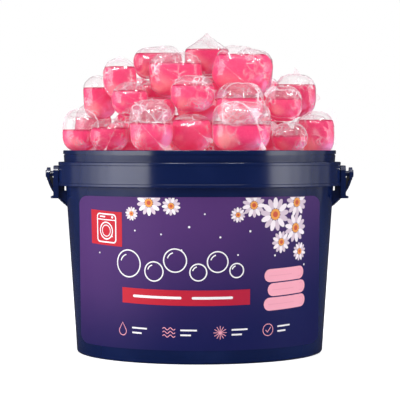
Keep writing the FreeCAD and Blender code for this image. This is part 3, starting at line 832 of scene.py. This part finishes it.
def daisy_tree():
    """Geometry Nodes tree: a ring of petals on every point, as large and turned as it says."""
    tree, given, result = group_shell(
        "Printed daisies", {"Geometry": "Geometry", "Petals": 13, "Petal length": 0.62,
                            "Petal width": 0.30, "Material": "Material"},
        {"Geometry": "Geometry"}, "GeometryNodeTree")

    def vector(**axes):
        return shader_node(tree, "ShaderNodeCombineXYZ", axes).outputs[0]

    large, turned = [
        shader_node(tree, "GeometryNodeInputNamedAttribute", {"Name": name},
                    data_type="FLOAT").outputs[0] for name in ("size", "turn")]
    petal = shader_node(tree, "GeometryNodeMeshCircle", {"Vertices": 12, "Radius": 0.5},
                        fill_type="NGON")
    half = times(tree, given["Petal length"], 0.5)
    shaped = shader_node(tree, "GeometryNodeTransform", {
        "Geometry": petal.outputs["Mesh"], "Translation": vector(X=plus(tree, half, 0.30)),
        "Scale": vector(X=given["Petal length"], Y=given["Petal width"], Z=1.0)})
    hub = shader_node(tree, "GeometryNodePoints", {"Count": given["Petals"]})
    index = tree.nodes.new("GeometryNodeInputIndex").outputs[0]
    step = maths(tree, "DIVIDE", 2 * math.pi, given["Petals"])
    flower = shader_node(tree, "GeometryNodeInstanceOnPoints", {
        "Points": hub.outputs[0], "Instance": shaped.outputs[0],
        "Rotation": vector(Z=times(tree, index, step))})
    field = shader_node(tree, "GeometryNodeInstanceOnPoints", {
        "Points": given["Geometry"], "Instance": flower.outputs[0],
        "Rotation": vector(Z=turned), "Scale": vector(X=large, Y=large, Z=large)})
    real = shader_node(tree, "GeometryNodeRealizeInstances", {"Geometry": field.outputs[0]})
    inked = shader_node(tree, "GeometryNodeSetMaterial",
                        {"Geometry": real.outputs[0], "Material": given["Material"]})
    tree.links.new(inked.outputs[0], result.inputs[0])
    return tree


def grown_petals(flowers, petals, material):
    """Flat outlines of all petals, grown by the tree from each flower's place and size."""
    mesh = bpy.data.meshes.new("daisy_points")
    mesh.from_pydata([(u, v, 0) for u, v, _, _ in flowers], [], [])
    for label, column in (("size", 2), ("turn", 3)):
        mark = mesh.attributes.new(label, "FLOAT", "POINT")
        mark.data.foreach_set("value", [flower[column] for flower in flowers])
    seeds = linked("daisy_points", mesh)
    grow = seeds.modifiers.new("Daisies", "NODES")
    grow.node_group = daisy_tree()
    named = {item.name: item.identifier for item in grow.node_group.interface.items_tree
             if item.in_out == "INPUT"}
    grow[named["Petals"]] = petals
    grow[named["Material"]] = material
    graph = bpy.context.evaluated_depsgraph_get()
    grown = bpy.data.meshes.new_from_object(seeds.evaluated_get(graph))
    outlines = [[tuple(grown.vertices[i].co[:2]) for i in face.vertices]
                for face in grown.polygons]
    bpy.data.objects.remove(seeds)
    return outlines


# Operators

class PAIL_OT_mouldings(bpy.types.Operator):
    """Gives the pail and its handle their glossy moulded plastic"""
    bl_idname = "pail.mouldings"
    bl_label = "Pail and Handle"

    def execute(self, context):
        look = context.scene.pail_plastic
        for node in ("tub", "bail_handle"):
            material = moulded_plastic(node + "_plastic", look)
            NODES[node].data.materials.clear()
            NODES[node].data.materials.append(material)
        return {"FINISHED"}


class PAIL_OT_label(bpy.types.Operator):
    """Prints the label's coloured ground"""
    bl_idname = "pail.label"
    bl_label = "Label Ground"

    def execute(self, context):
        label = NODES["front_label"]
        label.data.materials.clear()
        label.data.materials.append(label_ground(context.scene.pail_label))
        return {"FINISHED"}


# Flowers of the label: place from its middle and over its foot, size and turn, millimetres
DAISIES = [
    (62, 104, 14.5, 0.1), (83, 92, 12.5, 0.5), (43, 112, 10.5, 0.9), (68, 82, 9.5, 0.3),
    (88, 73, 8.0, 0.7), (30, 105, 6.5, 0.2), (-40, 114, 11.0, 0.4), (-22, 112, 8.0, 0.8),
    (-55, 105, 6.0, 0.6), (84, 112, 12.0, 0.0),
]
# Dots and bubbles by place and radius, and the places of the icons
SMALL_DOTS = [
    (-8, 96, 0.9), (16, 88, 0.8), (40, 92, 0.9), (-74, 86, 0.8), (-30, 90, 0.7), (62, 72, 0.8),
    (-88, 72, 0.7), (4, 106, 0.7), (-14, 78, 0.8), (30, 74, 0.7), (94, 62, 0.8), (-52, 92, 0.7),
]
ICON_PLACES = (-64, -24, 16, 56)
BUBBLES = [
    (-58, 66, 10.5), (-36, 61, 7.5), (-19, 70, 9.0), (-1, 61, 6.5), (14, 69, 8.0),
    (29, 62, 5.5),
]


class PAIL_OT_label_flowers(bpy.types.Operator):
    """Prints the daisies on the label"""
    bl_idname = "pail.label_flowers"
    bl_label = "Label Flowers"

    def execute(self, context):
        look = context.scene.pail_label
        wrap = LabelWrap(look)
        whites = (ink("ink_petal_low", (0.72, 0.60, 0.68), (0.62, 0.50, 0.60)),
                  ink("ink_petal", (0.90, 0.84, 0.87), (0.84, 0.76, 0.82)))
        flowers = [(u * MM, v * MM, size * MM, turn) for u, v, size, turn in DAISIES]
        petals = grown_petals(flowers, look.petals, whites[1])
        per_flower = len(petals) // len(flowers)
        for i in range(len(flowers)):
            shapes = petals[i * per_flower:(i + 1) * per_flower]
            for half in (0, 1):
                wrapped_print("daisy_%02d_petals_%d" % (i + 1, half + 1), shapes[half::2],
                              whites[half], wrap, half)
        hearts = [disc(u, v, size * 0.30, 20) for u, v, size, _ in flowers]
        wrapped_print("daisy_hearts", hearts, ink("ink_heart", (0.86, 0.36, 0.08)), wrap, 2)
        cores = [disc(u, v, size * 0.16, 14) for u, v, size, _ in flowers]
        wrapped_print("daisy_cores", cores, ink("ink_core", (0.62, 0.10, 0.05)), wrap, 3)
        return {"FINISHED"}


def circle_line(u, v, radius, width):
    return stroke(disc(u, v, radius, 36), width, closed=True)


def arc_points(u, v, radius, start, stop, count=12):
    return [(u + radius * math.cos(math.radians(start + (stop - start) * i / count)),
             v + radius * math.sin(math.radians(start + (stop - start) * i / count)))
            for i in range(count + 1)]


def bubble_row():
    """White line bubbles with a short glint in each."""
    shapes = []
    for u, v, radius in BUBBLES:
        shapes += circle_line(u, v, radius, 1.0)
        shapes += stroke(arc_points(u, v, radius * 0.68, 105, 165), 0.9)
    return shapes


def washer_pictogram(u, v):
    """Line drawing of a washing machine."""
    shapes = stroke(bar(u, v, 20, 22, 2.5), 1.1, closed=True)
    shapes += circle_line(u, v - 2, 6.6, 1.0)
    shapes += circle_line(u, v - 2, 4.4, 0.7)
    shapes += stroke([(u - 10, v + 6.6), (u + 10, v + 6.6)], 0.8)
    shapes += [disc(u + 6.5, v + 8.9, 1.0, 12), bar(u - 4, v + 8.9, 6, 1.2, 0.5)]
    return shapes


def towel_stack(u, v):
    """Folded towels: the rolls in one pale pink, their folds in a deeper one."""
    pale, deep = [], []
    for i, (width, shift) in enumerate(((44, 0), (40, 1.5), (41, -1))):
        z = v + i * 11.2
        pale.append(bar(u + shift, z, width, 10.2, 5.0))
        deep += stroke(arc_points(u + shift + width / 2 - 5.2, z, 3.0, 130, -130, 16), 0.6)
        deep.append(bar(u + shift - 5, z - 0.2, width - 18, 0.6, 0.3))
    return pale, deep


def small_icons(v):
    """Row of line drawings, each beside two plain bars."""
    drop, waves, star, tick = ICON_PLACES
    outline = arc_points(drop, v - 1.4, 3.4, -215, 35, 18) + [(drop, v + 5.4)]
    shapes = stroke(outline, 0.6, closed=True)
    for k in (-1, 0, 1):
        wave = [(waves - 5 + s * 0.5, v + k * 2.8 + 0.9 * math.sin(s * 0.63))
                for s in range(21)]
        shapes += stroke(wave, 0.6)
    for k in range(6):
        angle = math.pi * k / 6
        c, s = math.cos(angle) * 5.2, math.sin(angle) * 5.2
        shapes += stroke([(star - c, v - s), (star + c, v + s)], 0.5)
    shapes += circle_line(tick, v, 4.6, 0.6)
    shapes += stroke([(tick - 2.2, v), (tick - 0.6, v - 1.8), (tick + 2.6, v + 2.0)], 0.7)
    bars = []
    for u in ICON_PLACES:
        bars += [bar(u + 15.5, v + 1.9, 13, 1.3, 0.4), bar(u + 13.2, v - 1.9, 8.4, 1.3, 0.4)]
    return shapes, bars


class PAIL_OT_label_inks(bpy.types.Operator):
    """Prints the label's ribbon, bubbles, pictogram, towels and icon row"""
    bl_idname = "pail.label_inks"
    bl_label = "Label Inks"

    def execute(self, context):
        wrap = LabelWrap(context.scene.pail_label)
        white = ink("ink_white", (0.88, 0.86, 0.90))
        pink = ink("ink_pink", (0.86, 0.36, 0.46))
        pale = ink("ink_pale_pink", (0.88, 0.46, 0.54), (0.84, 0.36, 0.46))
        red = ink("ink_red", (0.56, 0.012, 0.030), (0.40, 0.006, 0.040))
        blocks = [bar(-81, 92, 34, 27, 0), bar(-12, 41, 104, 12, 0)]
        marks = bubble_row() + washer_pictogram(-80, 92)
        marks += [bar(-34, 41, 40, 2.0, 0.9), bar(10, 41, 32, 2.0, 0.9)]
        marks += [disc(u, v, radius, 12) for u, v, radius in SMALL_DOTS]
        towels, folds = towel_stack(74, 34)
        icons, bars = small_icons(14)
        for name, shapes, inked, layer in (
                ("red_fields", blocks, red, 0), ("white_marks", marks, white, 1),
                ("towel_rolls", towels, pale, 0), ("towel_folds", folds, pink, 1),
                ("icon_lines", icons, pink, 0), ("icon_bars", bars, white, 0)):
            flat = [[(u * MM, v * MM) for u, v in shape] for shape in shapes]
            wrapped_print(name, flat, inked, wrap, layer)
        return {"FINISHED"}


class PAIL_OT_heap_packs(bpy.types.Operator):
    """Makes the film and the liquid of every pack in the heap"""
    bl_idname = "pail.heap_packs"
    bl_label = "Packs of the Heap"

    def execute(self, context):
        look = context.scene.pail_packs
        film, liquid = clear_film(), pink_liquid(look)
        grid = ball_grid(look.cuts)
        coarse = ball_grid(look.cuts // 2)
        open_room = OpenRoom()
        for i, node in enumerate(sorted(n for n in NODES if n.startswith("pod_"))):
            name = node[len("pod_"):]
            form = PackForm(merged_solids(NODES[node])[0], look, i, name == PEAKED_PACK)
            form.share, form.tone_and_shade = SEEN_PACKS.get(name, (form.share, form.tone_and_shade))
            form.softness = ROUNDNESS.get(name, look.softness)
            dress_packs(node, [form], grid, film, liquid, open_room)
        for i, node in enumerate(HIDDEN_GROUPS):
            forms = [PackForm(part, look, 100 * (i + 1) + k)
                     for k, part in enumerate(merged_solids(NODES[node]))]
            for form in forms:
                form.share = HIDDEN_SHARE
            dress_packs(node, forms, coarse, film, liquid, open_room)
        for node in NODES:
            if node.startswith("pods_layer") and node not in HIDDEN_GROUPS:
                NODES[node].data.materials.clear()
                NODES[node].data.materials.append(liquid)
        return {"FINISHED"}


class PAIL_OT_stage(bpy.types.Operator):
    """Sets the floor, the lamps and the camera"""
    bl_idname = "pail.stage"
    bl_label = "Stage"

    def execute(self, context):
        look = context.scene.pail_stage
        scene = context.scene
        scene.view_settings.view_transform = "Standard"
        stage_floor()
        stage_world(look)
        stage_lamps()
        data = bpy.data.cameras.new("photo_camera")
        data.sensor_fit = "HORIZONTAL"
        data.angle = look.view_angle
        camera = linked("photo_camera", data)
        camera.location = (look.aside, -look.distance, look.height)
        camera.rotation_euler = (math.pi / 2 - look.tilt, 0, 0)
        scene.camera = camera
        return {"FINISHED"}


def stage_floor():
    """Plain pale floor that keeps the pail's shadow."""
    material, tree = new_material("pale_floor")
    path = tree.nodes.new("ShaderNodeLightPath").outputs
    speck = clouds(tree, object_place(tree), 3.0, 2.0)[0]
    colour = blended(tree, ranged(tree, speck, 0.3, 0.7), solid((0.86, 0.86, 0.86)),
                     solid((0.88, 0.88, 0.88)))
    colour = blended(tree, path["Is Glossy Ray"], colour, solid((0.07, 0.07, 0.08)))
    matt = shader_node(tree, "ShaderNodeBsdfDiffuse", {"Color": colour}).outputs[0]
    glow = shader_node(tree, "ShaderNodeEmission", {"Color": solid((1, 1, 1)),
                                                   "Strength": FLOOR_GLOW}).outputs[0]
    both = shader_node(tree, "ShaderNodeAddShader", {0: matt, 1: glow}).outputs[0]
    finish_material(tree, mixed(tree, path["Is Camera Ray"], matt, both))
    corners = [(x * FLOOR_REACH, y * FLOOR_REACH, 0)
               for x, y in ((-1, -1), (1, -1), (1, 1), (-1, 1))]
    mesh_object("floor", corners, [(0, 1, 2, 3)], material, smooth=False)


def stage_world(look):
    """Even room light; white behind the object and through its clear film."""
    world = bpy.data.worlds.new("room")
    bpy.context.scene.world = world
    world.use_nodes = True
    tree = world.node_tree
    tree.nodes.clear()
    path = tree.nodes.new("ShaderNodeLightPath").outputs
    white = maths(tree, "MAXIMUM", path["Is Camera Ray"], path["Is Transmission Ray"])
    plain, mirrored, seen = [
        shader_node(tree, "ShaderNodeBackground",
                    {"Color": solid((1, 1, 1)), "Strength": strength}).outputs[0]
        for strength in (look.ambient, look.mirrored, 1.0)]
    unseen = mixed(tree, path["Is Glossy Ray"], plain, mirrored)
    out = tree.nodes.new("ShaderNodeOutputWorld")
    tree.links.new(mixed(tree, white, unseen, seen), out.inputs["Surface"])


# Screens beside the pail: name, bearing from the camera to the right in degrees, width and
# brightness. They share their rise in degrees, distance and height.
SCREENS = [
    ("left_screen_near", -57.0, 0.96, 4.4), ("left_screen_middle", -80.0, 0.26, 3.1),
    ("left_screen_side", -90.0, 0.26, 1.9), ("left_screen_back", -100.5, 0.28, 1.0),
    ("left_screen_far", -114.0, 0.42, 0.45), ("right_screen_near", 65.0, 0.46, 3.9),
    ("right_screen_middle", 79.5, 0.30, 2.7), ("right_screen_side", 91.0, 0.28, 1.6),
    ("right_screen_back", 102.5, 0.30, 0.8), ("right_screen_far", 117.0, 0.44, 0.35),
]
SCREEN_RISE, SCREEN_FAR, SCREEN_TALL = 4, 1.5, 1.2
# Other lamps: name, bearing, rise, distance, width, height and brightness
LAMPS = [
    ("front_fill", 4, 34, 1.9, 1.10, 0.5, 1.5),
    ("top_screen", 10, 74, 1.4, 1.00, 1.0, 1.9),
    ("back_screen", 170, 40, 1.6, 1.20, 0.8, 1.6),
    ("left_spark", -20, 36, 1.3, 0.40, 0.16, 52.0),
    ("right_spark", 32, 46, 1.3, 0.34, 0.16, 46.0),
]


def stage_lamps():
    """Soft screens round the pail, and small bright lamps that glint on the film."""
    screens = [(name, bearing, SCREEN_RISE, SCREEN_FAR, width, SCREEN_TALL, bright)
               for name, bearing, width, bright in SCREENS]
    for name, bearing, rise, far, width, height, bright in screens + LAMPS:
        data = bpy.data.lights.new(name, "AREA")
        data.shape = "RECTANGLE"
        data.size, data.size_y = width, height
        data.energy = bright * math.pi * width * height
        turn, up = math.radians(bearing), math.radians(rise)
        way = Vector((math.sin(turn) * math.cos(up), -math.cos(turn) * math.cos(up),
                      math.sin(up)))
        lamp = linked(name, data)
        lamp.location = LIT_MIDDLE + way * far
        lamp.rotation_euler = way.to_track_quat("Z", "Y").to_euler()
        lamp.visible_diffuse = not name.endswith("_spark")


class PAIL_PT_sidebar(bpy.types.Panel):
    """Lists the pail's pieces and their settings"""
    bl_idname = "PAIL_PT_sidebar"
    bl_label = "Heaped Pail"
    bl_space_type = "VIEW_3D"
    bl_region_type = "UI"
    bl_category = "Pail"

    def draw(self, context):
        for group in (name for name, _ in SETTINGS):
            values = getattr(context.scene, group)
            box = self.layout.box()
            for name in values.__annotations__:
                box.prop(values, name)
        for operator in OPERATORS:
            self.layout.operator(operator.bl_idname)


SETTINGS = [("pail_plastic", MouldedPlastic), ("pail_label", LabelPrint),
            ("pail_packs", FilmPack), ("pail_stage", PhotoStage)]
OPERATORS = [PAIL_OT_mouldings, PAIL_OT_label, PAIL_OT_label_flowers, PAIL_OT_label_inks,
             PAIL_OT_heap_packs, PAIL_OT_stage]


def register():
    for _, group in SETTINGS:
        bpy.utils.register_class(group)
    for name, group in SETTINGS:
        setattr(bpy.types.Scene, name, PointerProperty(type=group))
    for operator in OPERATORS:
        bpy.utils.register_class(operator)
    bpy.utils.register_class(PAIL_PT_sidebar)


def unregister():
    bpy.utils.unregister_class(PAIL_PT_sidebar)
    for operator in reversed(OPERATORS):
        bpy.utils.unregister_class(operator)
    for name, group in reversed(SETTINGS):
        delattr(bpy.types.Scene, name)
        bpy.utils.unregister_class(group)


def main():
    register()
    bpy.ops.pail.mouldings()
    bpy.ops.pail.label()
    bpy.ops.pail.label_flowers()
    bpy.ops.pail.label_inks()
    bpy.ops.pail.heap_packs()
    bpy.ops.pail.stage()


if __name__ == "__main__":
    main()
